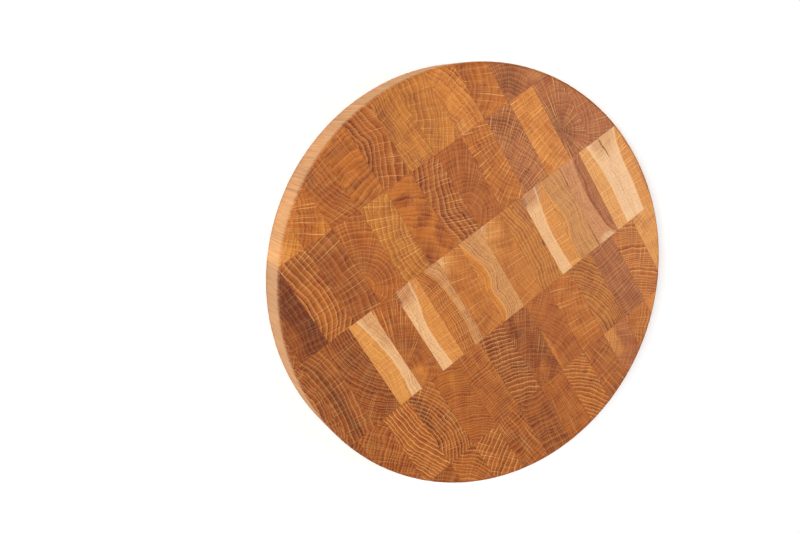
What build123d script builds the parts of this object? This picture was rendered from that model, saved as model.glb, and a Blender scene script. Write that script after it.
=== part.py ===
from build123d import *
import os
from math import sqrt

# Round end-grain chopping block, in millimetres. It lies flat: its underside is at
# Z = 0, its centre is on the Z axis, and its rows of blocks run along X, with row 1
# on the +Y side. The grain of every block stands upright, so that both faces of the
# board are end grain. The rows are glued up first, and the disc is then turned from
# the panel, which cuts off the blocks at the rim.

os.makedirs("parts", exist_ok=True)

# The turned disc
board_diameter = 350
board_thickness = 40
edge_radius = 3  # top and bottom edges of the rim
edge_flat_count = 4  # each rounded edge is this many narrow flats, which look round

# Widths of the rows across the board
middle_row_width = 80.3
side_row_width = 71.6
middle_row_shift = -0.5  # the disc was turned a little off the middle of the panel

# Thickness of the staves that the blocks were sawn from, along the rows
stave = 25.4
thin_stave = 22.2

# One glue line of each row, from the centre of the board. The others follow from it.
row_1_line = -10.7
row_2_line = -10.1
row_3_line = -118.2  # the right face of the one full stave among thin ones
row_4_line = -9.7
row_5_line = -9.9

# A slice at the rim that would be thinner than this belongs to the block beside it
thinnest_slice = 3.5

board_radius = board_diameter / 2
middle_row_high = middle_row_shift + middle_row_width / 2
middle_row_low = middle_row_shift - middle_row_width / 2
row_1_low = middle_row_high + side_row_width
row_5_high = middle_row_low - side_row_width

# Each row: its edges on the +Y and -Y sides, its glue line, the stave to the left of
# that line, and all its other staves
rows = [
    (board_radius, row_1_low, row_1_line, stave, stave),
    (row_1_low, middle_row_high, row_2_line, stave, stave),
    (middle_row_high, middle_row_low, row_3_line, stave, thin_stave),
    (middle_row_low, row_5_high, row_4_line, stave, stave),
    (row_5_high, -board_radius, row_5_line, stave, stave),
]


def glue_lines(high, low, line, left_stave, other_staves):
    """The faces of a row's blocks along X, from rim to rim, where the row is longest."""
    nearest_to_centre = max(0, low, -high)
    rim = sqrt(board_radius**2 - nearest_to_centre**2)
    lines = []
    while line < rim - thinnest_slice:
        lines.append(line)
        line += other_staves
    line = lines[0] - left_stave
    while line > thinnest_slice - rim:
        lines.insert(0, line)
        line -= other_staves
    return [-rim, *lines, rim]


def make_node(name, blocks):
    """One node from blocks given as (left, right, high, low), cut off by the rim."""
    with BuildPart() as node:
        with BuildSketch():
            for left, right, high, low in blocks:
                with Locations((left, low)):
                    Rectangle(right - left, high - low, align=(Align.MIN, Align.MIN))
        extrude(amount=board_thickness)
        add(turned_disc.part, mode=Mode.INTERSECT)
    node.part.label = name
    export_step(node.part, f"parts/{name}.step")


# The shape that the lathe leaves: a disc with both edges rounded
with BuildPart() as turned_disc:
    with BuildSketch(Plane.XZ):
        corner = (Align.MIN, Align.MIN)
        Rectangle(board_radius - edge_radius, board_thickness, align=corner)
        with Locations((0, edge_radius)):
            Rectangle(board_radius, board_thickness - 2 * edge_radius, align=corner)
        for height in (edge_radius, board_thickness - edge_radius):
            with Locations((board_radius - edge_radius, height)):
                RegularPolygon(edge_radius, 4 * edge_flat_count)
    revolve(axis=Axis.Z)

# The blocks between the ends of each row are nodes of their own. The end pieces of
# rows that don't touch each other share a node.
odd_row_ends = []
even_row_ends = []
for number, row in enumerate(rows, start=1):
    high, low = row[:2]
    lines = glue_lines(*row)
    blocks = [(left, right, high, low) for left, right in zip(lines, lines[1:])]
    ends = odd_row_ends if number % 2 else even_row_ends
    ends += [blocks[0], blocks[-1]]
    for place, block in enumerate(blocks[1:-1], start=1):
        make_node(f"row_{number}_block_{place:02d}", [block])

make_node("rows_1_3_5_ends", odd_row_ends)
make_node("rows_2_4_ends", even_row_ends)
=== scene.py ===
import math
from functools import partial

import bpy
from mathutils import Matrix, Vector


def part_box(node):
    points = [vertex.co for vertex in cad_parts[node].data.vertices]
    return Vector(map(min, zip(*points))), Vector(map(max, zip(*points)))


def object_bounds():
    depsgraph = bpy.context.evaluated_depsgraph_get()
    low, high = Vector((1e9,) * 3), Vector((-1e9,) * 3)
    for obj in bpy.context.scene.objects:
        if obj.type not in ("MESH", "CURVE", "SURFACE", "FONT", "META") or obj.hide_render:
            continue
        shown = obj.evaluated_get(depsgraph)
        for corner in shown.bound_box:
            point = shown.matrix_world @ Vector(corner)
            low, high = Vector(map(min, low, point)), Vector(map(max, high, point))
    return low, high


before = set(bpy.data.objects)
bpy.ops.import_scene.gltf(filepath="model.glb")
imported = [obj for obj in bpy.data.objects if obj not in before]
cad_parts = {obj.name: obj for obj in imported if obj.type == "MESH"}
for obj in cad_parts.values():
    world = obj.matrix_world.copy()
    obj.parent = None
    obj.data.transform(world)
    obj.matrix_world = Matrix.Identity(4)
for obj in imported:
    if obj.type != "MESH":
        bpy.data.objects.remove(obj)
cad_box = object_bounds()

# Row 1, the far row: nine oak blocks, cut off by the rim along the top. Each was sawn
# from a one-inch stave and glued upright to its neighbours. The whole disc was then
# turned, its edges were rounded with sandpaper, and it was oiled.

MM = 1000  # the frame is in metres, and the grain is drawn in millimetres

disc_radius = cad_box[1].x
disc_height = cad_box[1].z
edge_radius = 3 / MM

# Oiled oak, from the darkest board to the palest
umber = "#7C3A10"
brown = "#9E5119"
amber = "#AE5C1A"
russet = "#AE6230"
orange = "#BC691D"
honey = "#BD7226"
golden = "#D2812F"
straw = "#DB9446"
cream = "#EBC190"

dark_pores = "#964C2A"  # what open pores and glue lines leave of the wood's colour
bright_ray = "#F8BE72"
long_grain = "#DFB07C"
# the colour below also darkens the rounded edges, partly for their oil and partly as painted shade
oiled_fibres_and_edge_shade = "#C08A48"  # what the oil leaves of the colour of cut fibres


def linear(colour):
    """An sRGB hex colour as the linear one that the shader mixes."""
    shares = [int(colour[place:place + 2], 16) / 255 for place in (1, 3, 5)]
    return [s / 12.92 if s <= 0.04045 else ((s + 0.055) / 1.055) ** 2.4 for s in shares] + [1]


def add_node(tree, kind, inputs, output=0, **settings):
    """Adds one node with its settings, sets or links its inputs, and gives one output."""
    node = tree.nodes.new("ShaderNode" + kind)
    for name, value in settings.items():
        setattr(node, name, value)
    for name, value in inputs.items():
        if isinstance(value, bpy.types.NodeSocket):
            tree.links.new(value, node.inputs[name])
        else:
            node.inputs[name].default_value = value
    return node.outputs[output] if node.outputs else None


def weighed_sum(put, patterns):
    """Adds up patterns, each times its own weight."""
    total = 0
    for pattern, weight in patterns:
        total = put("Math", {0: pattern, 1: weight, 2: total}, operation="MULTIPLY_ADD")
    return total


def follow_line(put, place, low, high, line):
    """Bends the grain so that its rings run beside one line through the block. The line's
    points are shares of the way from the near to the far end and from left to right."""
    along = put("SeparateXYZ", {0: place}, "Y")
    along = put("MapRange", {"Value": along, "From Min": low.y, "From Max": high.y})
    across = put("FloatCurve", {"Value": along})
    mapping = across.node.mapping
    points = mapping.curves[0].points
    points[0].location, points[-1].location = line[0], line[-1]
    for point in line[1:-1]:
        points.new(*point)
    mapping.update()
    across = put("MapRange", {"Value": across, "To Min": low.x, "To Max": high.x})
    aside = put("Math", {0: (low.x + high.x) / 2, 1: across}, operation="SUBTRACT")
    return put("VectorMath", {0: place, 1: put("CombineXYZ", {"X": aside})}, operation="ADD")


def way_round_heart(put, place, heart_point, heart):
    """How far round the heart of the tree a point lies, in mm at the block's distance."""
    least_distance = 20  # for a heart that lies in the block or close to it
    outward = put("VectorMath", {0: place, 1: heart_point}, operation="SUBTRACT")
    ahead = Vector((-heart[0], -heart[1], 0)).normalized()
    aside = Vector((-ahead.y, ahead.x, 0))
    angle = put("Math", {0: put("VectorMath", {0: outward, 1: aside}, "Value", operation="DOT_PRODUCT"),
                         1: put("VectorMath", {0: outward, 1: ahead}, "Value", operation="DOT_PRODUCT")},
                operation="ARCTAN2")
    distance = max(math.hypot(*heart), least_distance)
    return put("Math", {0: angle, 1: distance}, operation="MULTIPLY")


def growth_rings(put, reach, ring, cut):
    """Growth rings of uneven width, of which some are stronger than others. Gives the
    dark line of open pores, the pale late wood outside it, and each ring's own chance."""
    turns_per_ring, unevenness = 0.23, 1.8  # wide and narrow rings take turns, about four of each
    full_pores, last_pores = 0.1, 0.55  # shares of the ring over which its pores thin out
    first_late, full_late = 0.5, 0.92  # and over which the late wood grows pale
    weakest_ring = 0.3
    count = put("Math", {0: reach, 1: 1 / ring, 2: cut}, operation="MULTIPLY_ADD")
    uneven = put("Math", {0: count, 1: turns_per_ring}, operation="MULTIPLY")
    uneven = put("TexNoise", {"W": uneven, "Scale": 1, "Detail": 0}, noise_dimensions="1D")
    count = put("Math", {0: uneven, 1: unevenness, 2: count}, operation="MULTIPLY_ADD")
    share = put("Math", {0: count}, operation="FRACT")
    number = put("Math", {0: count}, operation="FLOOR")
    chance = put("TexWhiteNoise", {"W": number}, "Value", noise_dimensions="1D")

    thinning = put("MapRange", {"Value": share, "From Min": full_pores, "From Max": last_pores,
                                "To Min": 1, "To Max": 0}, interpolation_type="SMOOTHSTEP")
    next_ring = put("MapRange", {"Value": share, "From Min": full_late, "From Max": 1},
                    interpolation_type="SMOOTHSTEP")
    pore_line = put("Math", {0: thinning, 1: next_ring}, operation="MAXIMUM")
    strength = put("MapRange", {"Value": chance, "To Min": weakest_ring})
    pore_line = put("Math", {0: pore_line, 1: strength}, operation="MULTIPLY")

    late = put("MapRange", {"Value": share, "From Min": first_late, "From Max": full_late},
               interpolation_type="SMOOTHSTEP")
    late = put("Math", {0: late, 1: next_ring}, operation="SUBTRACT")
    return pore_line, late, chance


def pore_clumps(put, around, reach, cut):
    """Breaks the dark lines up into pores. Real ones are 0.3 mm wide, which is too fine
    to show, so they are drawn as clumps about twice as coarse."""
    clump_length, clump_width = 1.6, 0.7
    weakest, strongest = 0.4, 1.2
    point = put("CombineXYZ", {"X": put("Math", {0: around, 1: 1 / clump_length}, operation="MULTIPLY"),
                               "Y": put("Math", {0: reach, 1: 1 / clump_width}, operation="MULTIPLY"),
                               "Z": cut})
    clumps = put("TexNoise", {"Vector": point, "Scale": 1, "Detail": 1})
    return put("MapRange", {"Value": clumps, "From Min": 0.3, "From Max": 0.7,
                            "To Min": weakest, "To Max": strongest})


def thin_lines(put, across, along, gap, thick, length, cut, alike=0.4):
    """Thin lines about one gap apart, each in its own place, that come and go over a
    length. The more alike, the more lines grow strong together. Distances are in mm."""
    margin = 0.2  # the share of its lane that a line's middle stays clear of on each side
    first_shown, full_shown = 0.35, 0.7  # values of the noise between which a line comes up
    count = put("Math", {0: across, 1: 1 / gap, 2: cut}, operation="MULTIPLY_ADD")
    lane = put("Math", {0: count}, operation="FLOOR")
    middle = put("TexWhiteNoise", {"W": lane}, "Value", noise_dimensions="1D")
    middle = put("Math", {0: middle, 1: 1 - 2 * margin, 2: margin}, operation="MULTIPLY_ADD")
    off = put("Math", {0: put("Math", {0: count}, operation="FRACT"), 1: middle}, operation="SUBTRACT")
    off = put("Math", {0: off}, operation="ABSOLUTE")
    line = put("MapRange", {"Value": off, "From Max": thick / gap, "To Min": 1, "To Max": 0},
               interpolation_type="SMOOTHSTEP")
    point = put("CombineXYZ", {"X": put("Math", {0: lane, 1: 1 - alike}, operation="MULTIPLY"),
                               "Y": put("Math", {0: along, 1: 1 / length}, operation="MULTIPLY")})
    strength = put("TexNoise", {"Vector": point, "Scale": 1, "Detail": 1})
    strength = put("MapRange", {"Value": strength, "From Min": first_shown, "From Max": full_shown},
                   interpolation_type="SMOOTHSTEP")
    return put("Math", {0: line, 1: strength}, operation="MULTIPLY")


border = 1  # half the width of the ragged border between heartwood and sapwood, in mm


def past_line(put, place, followed, middle):
    """How far a point lies past the followed line, in mm, with a ragged border."""
    border_grain = 7
    past = put("Math", {0: put("SeparateXYZ", {0: followed}, "X"), 1: middle.x}, operation="SUBTRACT")
    ragged = put("TexNoise", {"Vector": place, "Scale": 1 / border_grain, "Detail": 3})
    return put("Math", {0: ragged, 1: 2 * border, 2: past}, operation="MULTIPLY_ADD")


def stain(put, wood, place, middle, stains):
    """Lays soft oval stains over the wood's colour."""
    full_stain, last_stain = 0.5, 1.3  # shares of an oval over which its stain fades out
    for right, up, wide, tall, colour, strength in stains:
        centre = (middle.x + right, middle.y + up, 0)
        off = put("VectorMath", {0: place, 1: centre}, operation="SUBTRACT")
        off = put("VectorMath", {0: off, 1: (1 / wide, 1 / tall, 0)}, operation="MULTIPLY")
        off = put("VectorMath", {0: off}, "Value", operation="LENGTH")
        cover = put("MapRange", {"Value": off, "From Min": full_stain, "From Max": last_stain,
                                 "To Min": strength, "To Max": 0}, interpolation_type="SMOOTHSTEP")
        wood = put("MixRGB", {"Fac": cover, "Color1": wood, "Color2": linear(colour)})
    return wood


def draw_glue_lines(put, colour, place, low, high):
    """Darkens the outermost third of a millimetre, where the block meets its neighbours."""
    full_line, last_line, strength = 0.05, 0.35, 0.3
    inside = put("VectorMath", {0: put("VectorMath", {0: place, 1: low}, operation="SUBTRACT"),
                                1: put("VectorMath", {0: high, 1: place}, operation="SUBTRACT")},
                 operation="MINIMUM")
    inside = put("Math", {0: put("SeparateXYZ", {0: inside}, "X"), 1: put("SeparateXYZ", {0: inside}, "Y")},
                 operation="MINIMUM")
    seam = put("MapRange", {"Value": inside, "From Min": full_line, "From Max": last_line,
                            "To Min": strength, "To Max": 0}, interpolation_type="SMOOTHSTEP")
    return put("MixRGB", {"Fac": seam, "Color1": colour, "Color2": linear(dark_pores)}, blend_type="MULTIPLY")


def grow_long_grain(put, colour, flat, low, high):
    """Turns the end grain into long grain on the rim, which is paler, with dark strokes
    along the fibres. The oil has soaked down them from both faces, and more of it stays
    near the rounded edges, where the fibres are cut aslant. The rounded edges are also
    darkened all round as painted shade."""
    fibre_width, fibre_length = 0.5, 30
    paleness, stroke_strength = 0.6, 0.5
    least_edge_oil_and_shade, edge_oil_and_shade_by_strokes = 0.25, 0.3
    soak_depth, deeper_by_strokes, soak_fade = 10, 2, 2.6
    where = put("TexCoord", {}, "Object")
    fibres = put("VectorMath", {0: where, 1: (MM / fibre_width, MM / fibre_width, MM / fibre_length)},
                 operation="MULTIPLY")
    strokes = put("TexNoise", {"Vector": fibres, "Scale": 1, "Detail": 2})
    strokes = put("MapRange", {"Value": strokes, "From Min": 0.45, "From Max": 0.7})
    side = put("MixRGB", {"Fac": paleness, "Color1": colour, "Color2": linear(long_grain)})
    side = put("MixRGB", {"Fac": put("Math", {0: strokes, 1: stroke_strength}, operation="MULTIPLY"),
                          "Color1": side, "Color2": linear(oiled_fibres_and_edge_shade)}, blend_type="MULTIPLY")

    # The rounded edges are darkened with the oiled fibres' colour: partly the oil that the aslant fibres
    # drink, and partly painted shade
    rounding = put("MapRange", {"Value": flat, "From Min": 1, "From Max": 0.9},
                   interpolation_type="SMOOTHSTEP")
    edge_oil_and_painted_shade = put("Math", {0: strokes, 1: edge_oil_and_shade_by_strokes, 2: least_edge_oil_and_shade}, operation="MULTIPLY_ADD")
    edge_oil_and_painted_shade = put("Math", {0: rounding, 1: edge_oil_and_painted_shade}, operation="MULTIPLY")
    colour = put("MixRGB", {"Fac": edge_oil_and_painted_shade, "Color1": colour, "Color2": linear(oiled_fibres_and_edge_shade)},
                 blend_type="MULTIPLY")

    height = put("Math", {0: put("SeparateXYZ", {0: where}, "Z"), 1: MM}, operation="MULTIPLY")
    depth = put("Math", {0: put("Math", {0: height, 1: low.z}, operation="SUBTRACT"),
                         1: put("Math", {0: high.z, 1: height}, operation="SUBTRACT")},
                operation="MINIMUM")
    depth = put("Math", {0: strokes, 1: -deeper_by_strokes, 2: depth}, operation="MULTIPLY_ADD")
    soaked = put("MapRange", {"Value": depth, "From Max": soak_depth, "To Min": 1, "To Max": 0})
    soaked = put("Math", {0: soaked, 1: soak_fade}, operation="POWER")
    return put("MixRGB", {"Fac": soaked, "Color1": side, "Color2": colour})


# Oak across the grain, sanded and oiled. The eye sees growth rings, each with a dark
# line of open pores, bright rays that run out from the heart of the tree, and cloudy
# darker wood where the end grain has drawn in more oil. The oil has dried to a soft
# sheen, and the pores stay duller.
def end_grain_oak(name, box, tone, heart, ring=3.5, waves=2.5, pores=0.6, rays=0.5, gap=5, fine=0.5,
                  bright=0, clouds=0.5, stains=(), line=(), beyond=None, glow=(cream, 0.5)):
    """The oak of one block, in a tone. Distances are in mm, right and up from its middle.

    heart      where the heart of the tree lay
    ring       width of a growth ring, and waves is how far it sways
    pores      strength of the rings' dark pores, and bright that of their pale late wood
    rays       strength of the long rays, with a gap between them
    fine       strength of the faint grid of thin rays and weak rings
    clouds     strength of the oily clouds
    stains     ovals: right, up, half the width, half the height, colour, strength
    line       a growth ring that can be followed through the block, as follow_line says
    beyond     the tone past that line, with a glow of a colour and strength along it
    """
    material = bpy.data.materials.new(name)
    material.use_nodes = True
    tree = material.node_tree
    tree.nodes.clear()
    put = partial(add_node, tree)

    low, high = box[0] * MM, box[1] * MM
    middle = (low + high) / 2
    cut = round(middle.x * 3 + middle.y * 5)  # a different cut of the pattern in each block
    place = put("VectorMath", {0: put("TexCoord", {}, "Object"), 1: (MM, MM, 0), 2: (0, 0, cut)},
                operation="MULTIPLY_ADD")
    followed = follow_line(put, place, low, high, line) if line else place

    # The grain sways gently, the rays less than the rings, and the rings' edges are ragged
    wave_length, rag_length, rag_depth = 24, 5, 2
    ring_sway = (4 * waves, 4 * waves, 0)
    ray_sway = (3, 3, 0)
    sway = put("TexNoise", {"Vector": place, "Scale": 1 / wave_length, "Detail": 2}, "Color")
    sway = put("VectorMath", {0: sway, 1: (0.5, 0.5, 0)}, operation="SUBTRACT")
    bent = put("VectorMath", {0: sway, 1: ring_sway, 2: followed}, operation="MULTIPLY_ADD")
    bent_stains = put("VectorMath", {0: sway, 1: ring_sway, 2: place}, operation="MULTIPLY_ADD")
    bent_rays = put("VectorMath", {0: sway, 1: ray_sway, 2: place}, operation="MULTIPLY_ADD")
    heart_point = Vector((middle.x + heart[0], middle.y + heart[1], cut))
    if line:
        reach = put("SeparateXYZ", {0: bent}, "X")
    else:
        reach = put("VectorMath", {0: bent, 1: heart_point}, "Value", operation="DISTANCE")
    around = way_round_heart(put, bent_rays, heart_point, heart)
    ragged_reach = put("TexNoise", {"Vector": place, "Scale": 1 / rag_length, "Detail": 2})
    ragged_reach = put("Math", {0: ragged_reach, 1: rag_depth, 2: reach}, operation="MULTIPLY_ADD")

    pore_line, late, chance = growth_rings(put, ragged_reach, ring, cut)
    pore_line = put("Math", {0: pore_line, 1: pore_clumps(put, around, reach, cut)}, operation="MULTIPLY")
    late_line = put("Math", {0: late, 1: 3}, operation="POWER")

    # The faint rays and rings are drawn two or three times as coarse as the real ones,
    # which are 0.2 mm wide. The small pores between the rings are 0.05 mm wide, and are
    # drawn as far coarser specks.
    speck_width = 0.8
    long_rays = thin_lines(put, around, reach, gap, thick=0.42, length=30, cut=cut, alike=0)
    faint_rays = thin_lines(put, around, reach, gap=1.3, thick=0.4, length=25, cut=cut + 0.5, alike=0.65)
    faint_rings = thin_lines(put, ragged_reach, around, gap=1.25, thick=0.55, length=20, cut=cut)
    specks = put("TexNoise", {"Vector": place, "Scale": 1 / speck_width, "Detail": 0})
    specks = put("MapRange", {"Value": specks, "From Min": 0.45, "From Max": 0.75})

    cloud_width = 13
    cloud = put("TexNoise", {"Vector": bent, "Scale": 1 / cloud_width, "Detail": 3})
    cloud = put("MapRange", {"Value": cloud, "From Min": 0.38, "From Max": 0.68},
                interpolation_type="SMOOTHSTEP")

    colour = linear(tone)
    if beyond:
        past = past_line(put, place, followed, middle)
        side = put("MapRange", {"Value": past, "From Min": 0.4 * border, "From Max": 1.6 * border},
                   interpolation_type="SMOOTHSTEP")
        colour = put("MixRGB", {"Fac": side, "Color1": colour, "Color2": linear(beyond)})
    colour = stain(put, colour, bent_stains, middle, stains)
    dark = weighed_sum(put, [(cloud, 0.5 * clouds), (pore_line, pores), (chance, 0.2 * pores),
                             (faint_rings, 0.6 * fine), (specks, 0.1 + 0.4 * fine)])
    colour = put("MixRGB", {"Fac": dark, "Color1": colour, "Color2": linear(dark_pores)},
                 blend_type="MULTIPLY")
    light = weighed_sum(put, [(faint_rays, 0.42 * fine), (long_rays, 1.1 * rays),
                              (late, 0.22 * pores), (late_line, bright)])
    colour = put("MixRGB", {"Fac": light, "Color1": colour, "Color2": linear(bright_ray)})
    if beyond:
        glow_colour, glow_strength = glow
        off = put("Math", {0: put("Math", {0: past, 1: border}, operation="SUBTRACT")}, operation="ABSOLUTE")
        near = put("MapRange", {"Value": off, "From Min": 0.2 * border, "From Max": 1.3 * border,
                                "To Min": glow_strength, "To Max": 0}, interpolation_type="SMOOTHSTEP")
        colour = put("MixRGB", {"Fac": near, "Color1": colour, "Color2": linear(glow_colour)})

    colour = draw_glue_lines(put, colour, place, low, high)
    flat = put("Math", {0: put("SeparateXYZ", {0: put("NewGeometry", {}, "Normal")}, "Z")},
               operation="ABSOLUTE")
    colour = grow_long_grain(put, colour, flat, low, high)

    # The faces shine softly between their dull pores, and the rounded edges and the rim
    # are matt
    face_roughness, pore_roughness, rim_roughness = 0.42, 0.58, 1
    pore_depth = 0.05 / MM
    roughness = put("MapRange", {"Value": pore_line, "To Min": face_roughness, "To Max": pore_roughness})
    polish = put("MapRange", {"Value": flat, "From Min": 0.9, "From Max": 1})
    roughness = put("Mix", {"Factor": polish, "A": rim_roughness, "B": roughness})
    relief = put("Bump", {"Height": pore_line, "Distance": pore_depth, "Strength": 0.6}, invert=True)
    shader = put("BsdfPrincipled", {"Base Color": colour, "Roughness": roughness, "Normal": relief,
                                    "IOR": 1.48, "Specular IOR Level": 0.4})
    put("OutputMaterial", {"Surface": shader})
    return material


def round_the_rim(mesh):
    """Shades the facets of the rim and of its rounded edges as the smooth rounds that the
    lathe and the sandpaper left."""
    tolerance = 0.001  # how far the normals at a flat face's corners may differ
    normals = [corner.vector.copy() for corner in mesh.corner_normals]
    for face in mesh.polygons:
        corners = list(face.loop_indices)
        first = normals[corners[0]]
        if all((normals[corner] - first).length < tolerance for corner in corners):
            continue
        for corner in corners:
            point = mesh.vertices[mesh.loops[corner].vertex_index].co
            spoke = Vector((point.x, point.y, 0)).normalized()
            height = min(max(point.z, edge_radius), disc_height - edge_radius)
            centre = spoke * (disc_radius - edge_radius) + Vector((0, 0, height))
            normals[corner] = (point - centre).normalized()
    mesh.normals_split_custom_set(normals)


def dress(name, tone, heart, **look):
    """Gives a block its own cut of oak, which end_grain_oak describes."""
    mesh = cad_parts[name].data
    round_the_rim(mesh)
    mesh.materials.clear()
    mesh.materials.append(end_grain_oak(f"oiled_end_grain_oak_{name}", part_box(name), tone, heart, **look))


dress("row_1_block_01", orange, (-85, 48), ring=3.6, pores=0.35, rays=0.6, gap=3.5,
      stains=[(10, -16, 8, 8, golden, 0.5)])
dress("row_1_block_02", amber, (-150, -20), ring=3.6, pores=0.45, rays=0.25, fine=0.6,
      line=[(0, 0.55), (0.15, 0.4), (0.35, 0.2), (0.6, 0.08), (1, 0.02)],
      stains=[(-4, 18, 5, 7, umber, 0.5)])
dress("row_1_block_03", orange, (20, -110), ring=4.5, pores=0.4, rays=0.15, clouds=0.6,
      stains=[(0, 16, 18, 5, brown, 0.7), (-2, -12, 18, 2, umber, 0.45), (0, -26, 16, 7, honey, 0.6)])
dress("row_1_block_04", amber, (-150, 60), ring=5, waves=2, pores=0.8, rays=0.28,
      line=[(0, 0), (0.14, 0.16), (0.3, 0.36), (0.46, 0.55), (0.62, 0.63), (0.78, 0.55), (1, 0.4)])
dress("row_1_block_05", honey, (-150, -25), ring=2.8, waves=1.5, pores=0.3, rays=0.25, bright=0.1,
      line=[(0, 0.66), (0.5, 0.5), (0.75, 0.42), (1, 0.5)],
      stains=[(-9, 10, 4, 16, brown, 0.8), (5, -10, 3, 30, golden, 0.6), (-3, -30, 3.5, 8, straw, 0.8)])
dress("row_1_block_06", honey, (-100, 45), ring=4, pores=0.3, rays=0.35, fine=0.35, bright=0.1,
      stains=[(-7, 0, 4, 25, brown, 0.4), (6, 0, 7, 40, golden, 0.5)])
dress("row_1_block_07", golden, (-110, -32), ring=4, pores=0.4, rays=0.35,
      stains=[(-8, -24, 5, 7, straw, 0.6)])
dress("row_1_block_08", orange, (-80, 48), ring=4.5, pores=0.28, rays=0.45,
      stains=[(-9, 16, 4, 8, umber, 0.3)])
dress("row_1_block_09", russet, (-15.6, -25.4), ring=3.6, pores=0.35, rays=0.2, gap=3,
      stains=[(-4, -4, 14, 13, umber, 0.5)])

# Row 2: twelve oak blocks, sawn from one-inch staves and glued upright, almost in line
# with those of row 1. Three of them come from close to the heart of a tree, where the
# rings curve most and the rays spread like a fan.

chocolate = "#722E0A"
pin_knot = "#3A1E12"

dress("row_2_block_01", chocolate, (-150, 10), ring=3.5, pores=0.3, rays=0.12, fine=0.35,
      stains=[(-9, -12, 6, 26, brown, 0.8), (2.3, 15.8, 1.2, 1.2, pin_knot, 0.9)])
dress("row_2_block_02", amber, (-150, -10), ring=4.6, waves=1, pores=0.85, rays=0.38, gap=4, bright=0.08,
      line=[(0, 0.1), (0.07, 0.26), (0.15, 0.42), (0.28, 0.56), (0.5, 0.63), (0.7, 0.56), (1, 0.43)],
      stains=[(-6, 26, 10, 12, brown, 0.8), (-3, 0, 5, 5, brown, 0.5)])
dress("row_2_block_03", brown, (-160, 0), ring=4, waves=1.5, pores=0.45, rays=0.4, fine=0.6)
dress("row_2_block_04", amber, (-18, -17), ring=3.2, waves=1.5, pores=0.28, rays=0.2, gap=3, fine=0.4,
      bright=0.1, stains=[(-6, 4, 10, 18, brown, 0.75)])
dress("row_2_block_05", honey, (83, -23), ring=4, pores=0.4, rays=0.55, gap=4, fine=0.45, bright=0.1)
dress("row_2_block_06", orange, (-90, -117), ring=4.4, waves=2, pores=0.3, rays=0.05, fine=0.4, clouds=1,
      stains=[(-2, 24, 16, 3, umber, 0.2), (-8, -25, 8, 12, brown, 0.7)])
dress("row_2_block_07", amber, (-160, 60), ring=5.2, waves=2, pores=0.7, rays=0.4, gap=2.6,
      line=[(0, 0.36), (0.2, 0.3), (0.35, 0.26), (0.5, 0.3), (0.62, 0.4), (0.73, 0.55), (0.84, 0.75),
            (1, 0.99)])
dress("row_2_block_08", amber, (-18, -20), ring=3.8, pores=0.22, rays=0.15,
      stains=[(-2, 0, 12, 30, brown, 0.3)])
dress("row_2_block_09", orange, (57, 15), ring=4, pores=0.25, rays=0.6, gap=3.5, fine=0.6)
dress("row_2_block_10", russet, (-72, -47), ring=3, pores=0.45, rays=0.55, gap=2.4, fine=0.6,
      stains=[(-2, 24, 9, 12, brown, 0.7)])
dress("row_2_block_11", golden, (175, 32), ring=9, pores=0.12, rays=0.8, gap=4)
dress("row_2_block_12", russet, (-8.6, -10.5), ring=3.4, pores=0.25, rays=0.55, gap=2.6,
      stains=[(-7, -6, 9, 26, umber, 0.6)])

# Row 3, the middle row: fifteen oak blocks, glued upright, all but one of them from
# thinner staves. Many were sawn where the brown heartwood meets the pale sapwood, so
# that the two run side by side with a wavy line between them.

tan = "#C98B50"
wheat = "#D58A3D"
toffee = "#C07128"
sand = "#DF9C54"
sapwood = "#E6B47F"
pale_sapwood = "#EBBE8F"
copper = "#AF6738"
dull_fawn = "#BA7C52"
fawn = "#BE7E50"
bronze = "#C88A4C"
rose_tan = "#CC8B58"
warm_buff = "#D09356"
buff = "#D0935A"

far_left = (-200, 0)  # a heart so far off that the rays run almost straight across

dress("row_3_block_01", brown, (-150, 5), ring=3.6, waves=1.5, pores=0.5, rays=0.25, bright=0.1,
      stains=[(-2, -10, 5, 40, chocolate, 0.7)])
dress("row_3_block_02", brown, (64, 30), ring=2.6, waves=1.5, pores=0.6, rays=0.05, gap=3, fine=0.6,
      stains=[(0, 20, 6, 14, umber, 0.4)])
dress("row_3_block_03", straw, far_left, ring=2.4, pores=0.3, rays=0.45, fine=0.6, clouds=0.1,
      line=[(0, 0.55), (0.37, 0.68), (0.56, 0.64), (1, 0.37)], beyond=sapwood,
      stains=[(7, 32, 7, 26, tan, 0.5)])
dress("row_3_block_04", amber, (-17, -20), ring=3.4, pores=0.2, rays=0.3, gap=2, fine=0.6,
      stains=[(-8, -30, 8, 8, golden, 0.8), (0, 4, 9, 24, brown, 0.8)])
dress("row_3_block_05", sapwood, far_left, ring=2.4, pores=0.15, rays=0.6, gap=2.5, clouds=0.1,
      line=[(0, 0.44), (0.56, 0.4), (0.75, 0.58), (1, 0.67)], beyond=wheat,
      stains=[(-4, 40, 12, 17, fawn, 0.9), (-10.5, 36, 1.6, 10, umber, 0.8)])
dress("row_3_block_06", orange, far_left, ring=1.9, pores=0.45, rays=0.3, fine=0.7, bright=0.2,
      line=[(0, 0.57), (0.62, 0.7), (1, 0.34)], beyond=buff, glow=(straw, 0.3))
dress("row_3_block_07", toffee, (91, -16), ring=3.6, pores=0.2, rays=0.4,
      stains=[(-12, 45, 15, 26, straw, 0.8), (-14, 45, 9, 17, cream, 0.4)])
dress("row_3_block_08", golden, far_left, ring=2, pores=0.35, rays=0.2, clouds=0.2,
      line=[(0, 0.05), (0.12, 0.28), (0.37, 0.23), (0.56, 0.42), (0.85, 0.19), (1, 0.01)],
      beyond=warm_buff, glow=(straw, 0.6))
dress("row_3_block_09", toffee, (85, -12), ring=3.6, pores=0.2, rays=0.45,
      stains=[(-11, 45, 18, 32, straw, 0.8), (-14, 45, 9, 18, cream, 0.6)])
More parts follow.
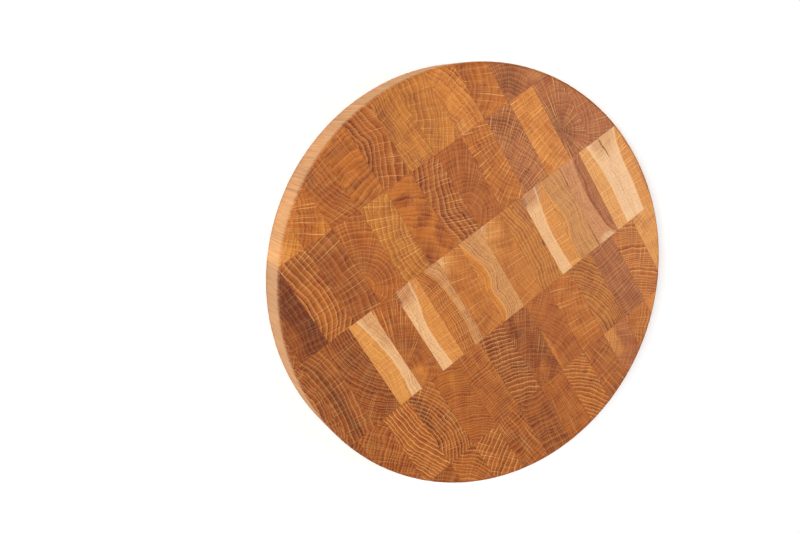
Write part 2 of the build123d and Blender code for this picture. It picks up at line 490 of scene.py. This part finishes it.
dress("row_3_block_10", honey, (-150, 0), ring=2.8, waves=1.5, pores=0.35, rays=0.2, bright=0.15, clouds=0.3,
      stains=[(1.7, 37, 1.2, 1.2, umber, 0.8), (7.7, 25, 1, 2.5, umber, 0.8), (7.7, 15, 1, 3, umber, 0.8),
              (9.7, -6, 1.4, 3, umber, 0.8), (8, 28, 4, 14, russet, 0.6)])
dress("row_3_block_11", sapwood, far_left, ring=2.4, pores=0.15, rays=0.7, gap=3, fine=0.35, clouds=0.1,
      line=[(0, 0.48), (0.5, 0.43), (0.63, 0.48), (1, 0.7)], beyond=wheat,
      stains=[(-2, 42, 13, 18, dull_fawn, 0.9), (-10, 37, 2, 9, umber, 0.6)])
dress("row_3_block_12", straw, far_left, ring=2.6, waves=1.5, pores=0.3, rays=0.2, fine=0.8, clouds=0.2,
      line=[(0, 0), (0.25, 0.02), (0.5, 0.24), (0.87, 0.02), (1, 0)], beyond=bronze, glow=(straw, 0.6),
      stains=[(10.3, 30, 0.8, 12, umber, 0.9), (10, -30, 1.3, 14, brown, 0.8)])
dress("row_3_block_13", rose_tan, far_left, ring=2.4, pores=0.3, rays=0.15, clouds=0.2,
      line=[(0, 0.86), (0.25, 0.59), (0.5, 0.5), (1, 0.68)], beyond=copper, glow=(brown, 0.3),
      stains=[(0, -40, 10, 6, cream, 0.7), (3.5, 8, 2, 30, umber, 0.45)])
dress("row_3_block_14", sand, far_left, ring=2.6, pores=0.15, rays=0.8, gap=3.5, fine=0.35, clouds=0.1,
      line=[(0, 0.54), (0.69, 0.59), (1, 0.41)], beyond=pale_sapwood,
      stains=[(7, 40, 7, 20, tan, 0.6)])
dress("row_3_block_15", pale_sapwood, far_left, ring=2.6, pores=0.15, rays=1.1, gap=3.2, fine=0.35,
      clouds=0.1, line=[(0, 0.4), (0.37, 0.53), (0.69, 0.58), (1, 0.85)], beyond=wheat,
      stains=[(-4, 40, 11, 16, tan, 0.6), (-9.3, 31, 0.9, 12, umber, 0.9)])

# Row 4: twelve oak blocks, sawn from one-inch staves and glued upright, almost in line
# with those of row 2. They come from trees that grew more slowly, with narrower rings.

chestnut = "#A2582A"

dress("row_4_block_01", amber, (120, -140), ring=3.2, pores=0.55, rays=0.2, fine=0.6,
      stains=[(-4, 20, 7, 7, umber, 0.4)])
dress("row_4_block_02", amber, (120, 31), ring=3, waves=1.5, pores=0.2, rays=0.15, bright=0.5,
      stains=[(0, -26, 14, 8, amber, 0.7)])
dress("row_4_block_03", amber, (-53, -8), ring=3, waves=1.5, pores=0.7, rays=0.3, fine=0.6, bright=0.15,
      stains=[(-9, 16, 5, 20, umber, 0.6), (9, 0, 4, 40, honey, 0.4)])
dress("row_4_block_04", amber, (-60, -100), ring=2.2, pores=0.35, rays=0, fine=0.3, bright=0.1,
      stains=[(4, 20, 12, 10, honey, 0.5), (-2, -32, 15, 10, brown, 0.6)])
dress("row_4_block_05", amber, (10, -300), ring=2.4, waves=1.5, pores=0.45, rays=0.1, bright=0.1, clouds=0.6,
      stains=[(11.5, 0, 2, 40, honey, 0.6)])
dress("row_4_block_06", brown, (-45, -110), ring=3.6, waves=1.5, pores=0.5, rays=0.2, bright=0.28)
dress("row_4_block_07", brown, (-60, -90), ring=2.8, pores=0.3, rays=0.2, gap=4, fine=0.6, clouds=1,
      stains=[(-5, -24, 8, 12, orange, 0.6), (4, 0, 6, 12, umber, 0.5)])
dress("row_4_block_08", amber, (-63, -30), ring=2.8, waves=1.5, pores=0.28, rays=0.1, clouds=0.4,
      stains=[(-10.5, -15, 1.8, 20, golden, 0.6)])
dress("row_4_block_09", orange, (117, -30), ring=4, pores=0.2, rays=0.5, fine=0.6)
dress("row_4_block_10", honey, (-65, -29), ring=2.7, waves=1.5, pores=0.6, rays=0.1)
dress("row_4_block_11", chestnut, (-10, 150), ring=3, waves=1.5, pores=0.25, rays=0.15, fine=0.55,
      bright=0.15)
dress("row_4_block_12", orange, (-70, -105), ring=2.6, waves=1.5, pores=0.4, rays=0.35, bright=0.25)

# Row 5, the near row: nine oak blocks from one-inch staves, glued upright in line with
# those of row 4. The rim has cut them off along the bottom, as it has row 1 along the
# top.

dress("row_5_block_01", amber, (-45, -32), ring=3.2, pores=0.35, rays=0.3, bright=0.25)
dress("row_5_block_02", amber, (58, -76), ring=4.2, waves=1.5, pores=0.4, bright=0.3)
dress("row_5_block_03", amber, (-20, 160), ring=3.6, pores=0.45, rays=0.45, gap=3.5, fine=0.6,
      stains=[(0, 0, 8, 16, umber, 0.3)])
dress("row_5_block_04", brown, (15, 70), ring=4, pores=0.5, rays=0.1,
      stains=[(-4, 22, 12, 8, amber, 0.6)])
dress("row_5_block_05", amber, (0, 80), ring=3, waves=1.5, pores=0.3, rays=0.3, fine=0.6)
dress("row_5_block_06", orange, (-80, -70), ring=3.2, waves=1.5, pores=0.55, rays=0.05, bright=0.25,
      stains=[(5, 15, 4, 4, umber, 0.5)])
dress("row_5_block_07", amber, (-20, 90), ring=3, pores=0.4, rays=0.45, fine=0.6,
      stains=[(4, -4, 10, 7, brown, 0.5)])
dress("row_5_block_08", russet, (-80, 60), ring=3.6, pores=0.2, rays=0.3,
      stains=[(-9, 16, 7, 18, straw, 0.7)])
dress("row_5_block_09", orange, (-60, 50), ring=2.6, pores=0.35, rays=0.4, fine=0.6, bright=0.1)

# The ends of the rows: the slices and wedges that the turning left of the outermost oak
# blocks. They are glued on like the rest, and a group holds those that don't touch.


def dress_ends(group, ends):
    """Gives each slice in a group its own cut of oak. A slice is named by its row and its
    side, and fills the space from the last whole block of the row to the rim."""
    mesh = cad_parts[group].data
    round_the_rim(mesh)
    mesh.materials.clear()
    for slot, (row, side, tone, heart, look) in enumerate(ends):
        blocks = [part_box(name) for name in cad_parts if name.startswith(f"row_{row}_")]
        low = Vector([min(block[0][axis] for block in blocks) for axis in range(3)])
        high = Vector([max(block[1][axis] for block in blocks) for axis in range(3)])
        if side == "left":
            low.x, high.x = -disc_radius, low.x
        else:
            low.x, high.x = high.x, disc_radius
        material_name = f"oiled_end_grain_oak_row_{row}_end_{slot}"
        mesh.materials.append(end_grain_oak(material_name, (low, high), tone, heart, **look))
        for face in mesh.polygons:
            if low.x < face.center.x < high.x and low.y < face.center.y < high.y:
                face.material_index = slot


dress_ends("rows_1_3_5_ends", [
    (1, "left", golden, (-60, 60), dict(pores=0.3, rays=0.4, stains=[(28, -14, 9, 12, honey, 0.9),
                                                                     (13, -26, 10, 7, straw, 0.9)])),
    (1, "right", russet, (-60, -30), dict(pores=0.15, rays=0.4, stains=[(0, 0, 30, 40, tan, 0.65)])),
    (3, "left", brown, (-100, 8), dict(ring=3, pores=0.45, rays=0.2, bright=0.15)),
    (3, "right", wheat, (-90, 10), dict(pores=0.2, rays=0.5)),
    (5, "left", brown, (-30, -30), dict(pores=0.4, rays=0.3)),
    (5, "right", golden, (-60, 40), dict(pores=0.12, rays=0.3, clouds=0.2)),
])
dress_ends("rows_2_4_ends", [
    (2, "left", brown, (60, 30), dict(pores=0.5, rays=0.3, stains=[(5, 0, 20, 40, umber, 0.3)])),
    (2, "right", russet, (-90, 5), dict(pores=0.3, rays=0.5)),
    (4, "left", brown, (60, -30), dict(pores=0.6, rays=0.2, stains=[(5, 0, 20, 40, umber, 0.4)])),
    (4, "right", straw, (-120, 10), dict(pores=0.25, rays=0.7, gap=3, fine=0.2)),
])

# The floor: one sheet of matt white paper, cut round, on which the block lies. It isn't
# part of the block. Paper has no sheen and scatters the light evenly.

paper_white = "#FBFBFB"
floor_radius = 2.3
floor_height = -0.3 / MM  # a hair below the underside, so that the two don't flicker
floor_corners = 72

turns = [math.tau * corner / floor_corners for corner in range(floor_corners)]
floor_points = [(floor_radius * math.cos(turn), floor_radius * math.sin(turn), floor_height)
                for turn in turns]
floor_mesh = bpy.data.meshes.new("studio_floor")
floor_mesh.from_pydata(floor_points, [], [range(floor_corners)])
floor = bpy.data.objects.new("studio_floor", floor_mesh)
bpy.context.scene.collection.objects.link(floor)

paper = bpy.data.materials.new("matt_white_paper")
paper.use_nodes = True
paper_shader = paper.node_tree.nodes["Principled BSDF"]
paper_shader.inputs["Base Color"].default_value = linear(paper_white)
paper_shader.inputs["Roughness"].default_value = 0.9
floor_mesh.materials.append(paper)

# The light: three round softboxes in a room with pale walls and a dim ceiling, which
# throws little light on the face and so leaves the wood its depth of colour. None of it
# is part of the block.

wall_light, ceiling_light = 0.85, 0.22
wall_top, ceiling_start = 0.05, 0.3  # as the upward part of the direction to them

walls = bpy.data.worlds.new("studio_walls")
walls.use_nodes = True
put = partial(add_node, walls.node_tree)
upward = put("SeparateXYZ", {0: put("TexCoord", {}, "Generated")}, "Z")
brightness = put("MapRange", {"Value": upward, "From Min": wall_top, "From Max": ceiling_start,
                              "To Min": wall_light, "To Max": ceiling_light},
                 interpolation_type="SMOOTHSTEP")
walls.node_tree.links.new(brightness, walls.node_tree.nodes["Background"].inputs["Color"])
bpy.context.scene.world = walls


def softbox(name, place, size, power):
    """A round lamp behind white cloth, turned to the block. Its place and size are in
    metres and its power is in watts."""
    lamp = bpy.data.objects.new(name, bpy.data.lights.new(name, "AREA"))
    lamp.data.shape = "DISK"
    lamp.data.size = size
    lamp.data.energy = power
    lamp.location = place
    lamp.rotation_euler = (-lamp.location).to_track_quat("-Z", "Y").to_euler()
    bpy.context.scene.collection.objects.link(lamp)


softbox("key_softbox", (-1.6, 1.7, 3.3), size=1.7, power=153)  # lights the face
softbox("side_softbox", (-2.2, 0.9, 0.9), size=1.2, power=7)  # lights the rim on the left
softbox("sheen_softbox", (2.1, -1.3, 2.6), size=1.5, power=26)  # a soft sheen on the right of the face

# The camera: it hangs over the far left side of the block and looks down at it aslant,
# so that the whole working face shows, with a strip of the rim on the left. Its shift
# puts the block right of the middle of the frame.

camera = bpy.data.objects.new("camera", bpy.data.cameras.new("camera"))
camera.location = Vector((-219.35, 299.33, 703.04)) / MM
camera.rotation_euler = [math.radians(turn) for turn in (-8.7556, -25.8142, -32.191)]
camera.data.lens = 41.546
camera.data.sensor_width = 36
camera.data.shift_x = -0.0769
camera.data.shift_y = -0.0175
camera.data.clip_start = 0.01
bpy.context.scene.collection.objects.link(camera)
bpy.context.scene.camera = camera
bpy.context.scene.view_settings.view_transform = "Standard"
